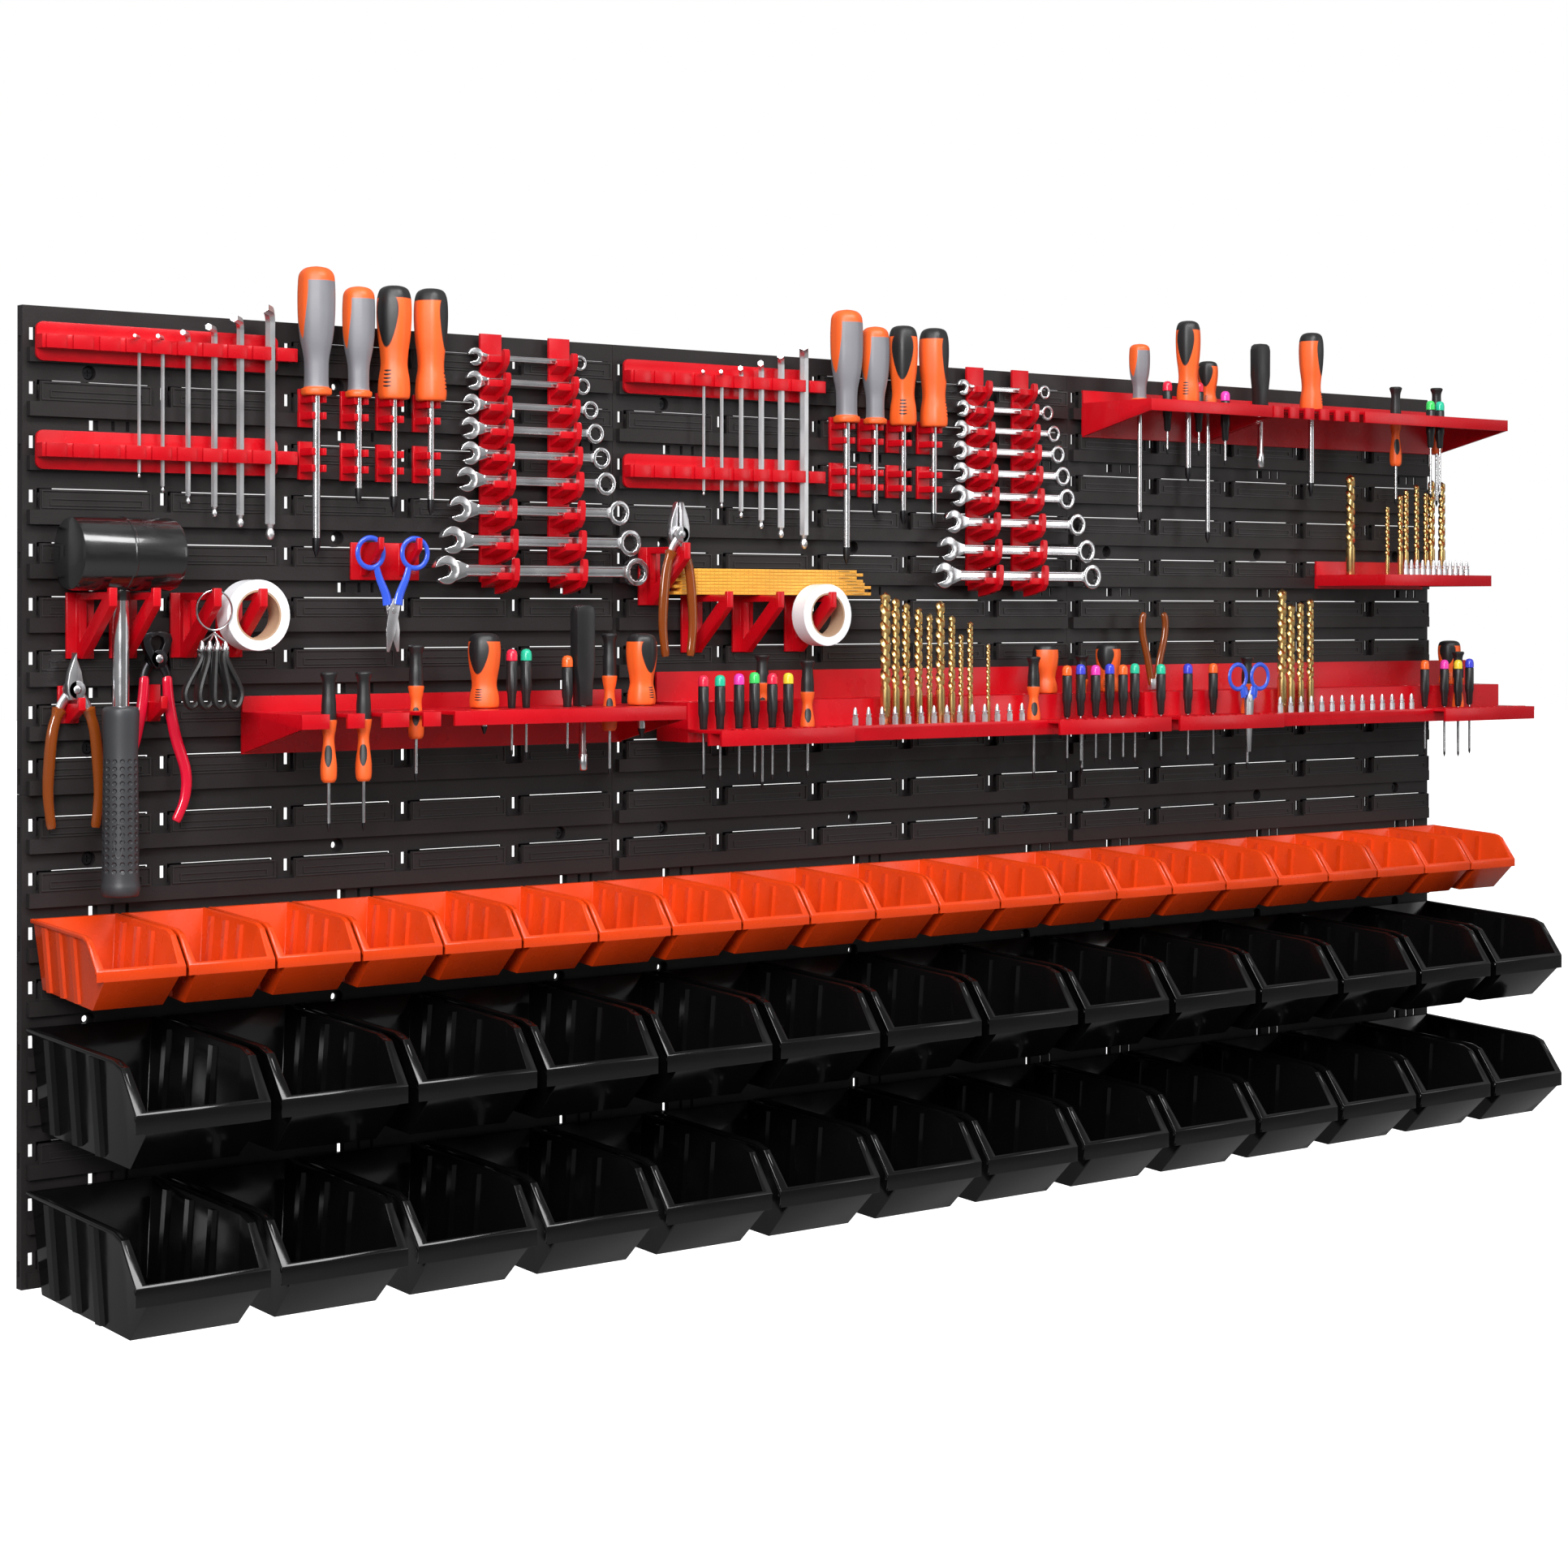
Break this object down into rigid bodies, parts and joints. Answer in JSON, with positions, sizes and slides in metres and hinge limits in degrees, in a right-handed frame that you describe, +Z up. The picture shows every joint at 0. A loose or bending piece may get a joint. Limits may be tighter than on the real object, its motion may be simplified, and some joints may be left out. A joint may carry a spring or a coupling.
{
  "type": "pegboard tool wall",
  "caption": "Modular louvred wall panel set with red tool holders, shelves, hand tools and rows of hook-on storage bins.",
  "frame": {"origin": "middle of the wall's back face, on the top rim of the lower middle panel", "axes": "+X to the right along the wall, +Z up, +Y into the wall, so the front faces -Y"},
  "size_m": [1.7848, 0.202, 0.8496],
  "materials": {
    "charcoal_plastic": "fine moulded texture",
    "red_plastic": "satin gloss",
    "orange_plastic": "satin gloss",
    "black_gloss": "high gloss",
    "black_plastic": "satin",
    "orange_grip": "soft two-part grip",
    "amber_plastic": "translucent amber",
    "red_dip": "dipped vinyl",
    "blue_plastic": "gloss",
    "white_tape": "satin",
    "black_rubber": "satin rubber",
    "yellow_wood": "lacquered",
    "chrome": "polished",
    "satin_steel": "satin",
    "zinc_steel": "blackened",
    "gold_steel": "gold coated"
  },
  "bodies": {
    "wall": {"panel_upper_left": "charcoal_plastic", "panel_lower_left": "charcoal_plastic", "panel_upper_middle": "charcoal_plastic", "panel_lower_middle": "charcoal_plastic", "panel_upper_right": "charcoal_plastic", "panel_lower_right": "charcoal_plastic", "key_rails_left": "red_plastic", "key_rails_right": "red_plastic", "driver_clips_left": "red_plastic", "driver_clips_right": "red_plastic", "spanner_racks_left": "red_plastic", "spanner_racks_right": "red_plastic", "mallet_bracket": "red_plastic", "ring_bracket": "red_plastic", "pliers_hooks": "red_plastic", "scissors_hook": "red_plastic", "cutter_hook": "red_plastic", "rule_brackets": "red_plastic", "tool_shelf_low": "red_plastic", "tool_shelf_high_left": "red_plastic", "tool_shelf_high_right": "red_plastic", "bit_shelf_left": "red_plastic", "bit_shelf_right": "red_plastic", "drill_shelf": "red_plastic", "wall_screws": "zinc_steel", "hex_keys_left": "chrome", "hex_keys_right": "chrome", "driver_handles": "orange_grip", "driver_blades": "satin_steel", "small_driver_handles": "orange_grip", "small_driver_blades": "satin_steel", "precision_handles": "black_plastic", "precision_blades": "satin_steel", "flat_drivers": "black_plastic", "spanners_left": "chrome", "spanners_right": "chrome", "shelf_pliers": "amber_plastic", "scissors_back": "blue_plastic", "shelf_scissors": "blue_plastic", "twist_drills": "gold_steel", "screw_bits": "satin_steel", "orange_bins": "orange_plastic", "black_bins": "black_gloss"},
    "orange_bin": {"orange_bin_first": "orange_plastic"},
    "black_bin": {"black_bin_first": "black_gloss"},
    "mallet": {"mallet_head": "black_rubber", "mallet_shaft": "chrome", "mallet_grip": "black_rubber"},
    "tape_left": {"tape_roll_left": "white_tape"},
    "tape_right": {"tape_roll_right": "white_tape"},
    "keys": {"key_ring": "chrome", "key_fobs": "black_plastic"},
    "rule": {"folding_rule": "yellow_wood"},
    "cutter_left": {"cutter_left_back": "amber_plastic"},
    "cutter_left_leg": {"cutter_left_front": "amber_plastic"},
    "end_cutter": {"end_cutter_back": "red_dip"},
    "end_cutter_leg": {"end_cutter_front": "red_dip"},
    "cutter_right": {"cutter_right_back": "amber_plastic"},
    "cutter_right_leg": {"cutter_right_front": "amber_plastic"},
    "scissors_leg": {"scissors_front": "blue_plastic"}
  },
  "joints": [
    {"name": "orange_bin_lift", "type": "slide", "parent": "wall", "child": "orange_bin", "axis": [0, 0, 1], "range_m": [0, 0.009]},
    {"name": "black_bin_lift", "type": "slide", "parent": "wall", "child": "black_bin", "axis": [0, 0, 1], "range_m": [0, 0.009]},
    {"name": "mallet_lift", "type": "slide", "parent": "wall", "child": "mallet", "axis": [0, 0, 1], "range_m": [0, 0.03]},
    {"name": "rule_lift", "type": "slide", "parent": "wall", "child": "rule", "axis": [0, 0, 1], "range_m": [0, 0.0045]},
    {"name": "tape_left_spin", "type": "hinge", "parent": "wall", "child": "tape_left", "pos_m": [-0.684, -0.057, 0.14413], "axis": [0, 1, 0], "continuous": true},
    {"name": "tape_right_spin", "type": "hinge", "parent": "wall", "child": "tape_right", "pos_m": [-0.08, -0.057, 0.14413], "axis": [0, 1, 0], "continuous": true},
    {"name": "keys_swing", "type": "hinge", "parent": "wall", "child": "keys", "pos_m": [-0.726, -0.0686, 0.1624], "axis": [-1, 0, 0], "range_deg": [0, 20]},
    {"name": "cutter_left_lift", "type": "slide", "parent": "wall", "child": "cutter_left", "axis": [0, 0, 1], "range_m": [0, 0.007]},
    {"name": "cutter_left_pivot", "type": "hinge", "parent": "cutter_left", "child": "cutter_left_leg", "pos_m": [-0.828, -0.027, 0.085], "axis": [0, -1, 0], "range_deg": [0, 20]},
    {"name": "end_cutter_lift", "type": "slide", "parent": "wall", "child": "end_cutter", "axis": [0, 0, 1], "range_m": [0, 0.007]},
    {"name": "end_cutter_pivot", "type": "hinge", "parent": "end_cutter", "child": "end_cutter_leg", "pos_m": [-0.756, -0.027, 0.109], "axis": [0, -1, 0], "range_deg": [0, 9]},
    {"name": "cutter_right_lift", "type": "slide", "parent": "wall", "child": "cutter_right", "axis": [0, 0, 1], "range_m": [0, 0.007]},
    {"name": "cutter_right_pivot", "type": "hinge", "parent": "cutter_right", "child": "cutter_right_leg", "pos_m": [-0.252, -0.061, 0.217], "axis": [0, 1, 0], "range_deg": [0, 20]},
    {"name": "scissors_pivot", "type": "hinge", "parent": "wall", "child": "scissors_leg", "pos_m": [-0.538, -0.036, 0.148], "axis": [0, 1, 0], "range_deg": [-5, 0]}
  ]
}
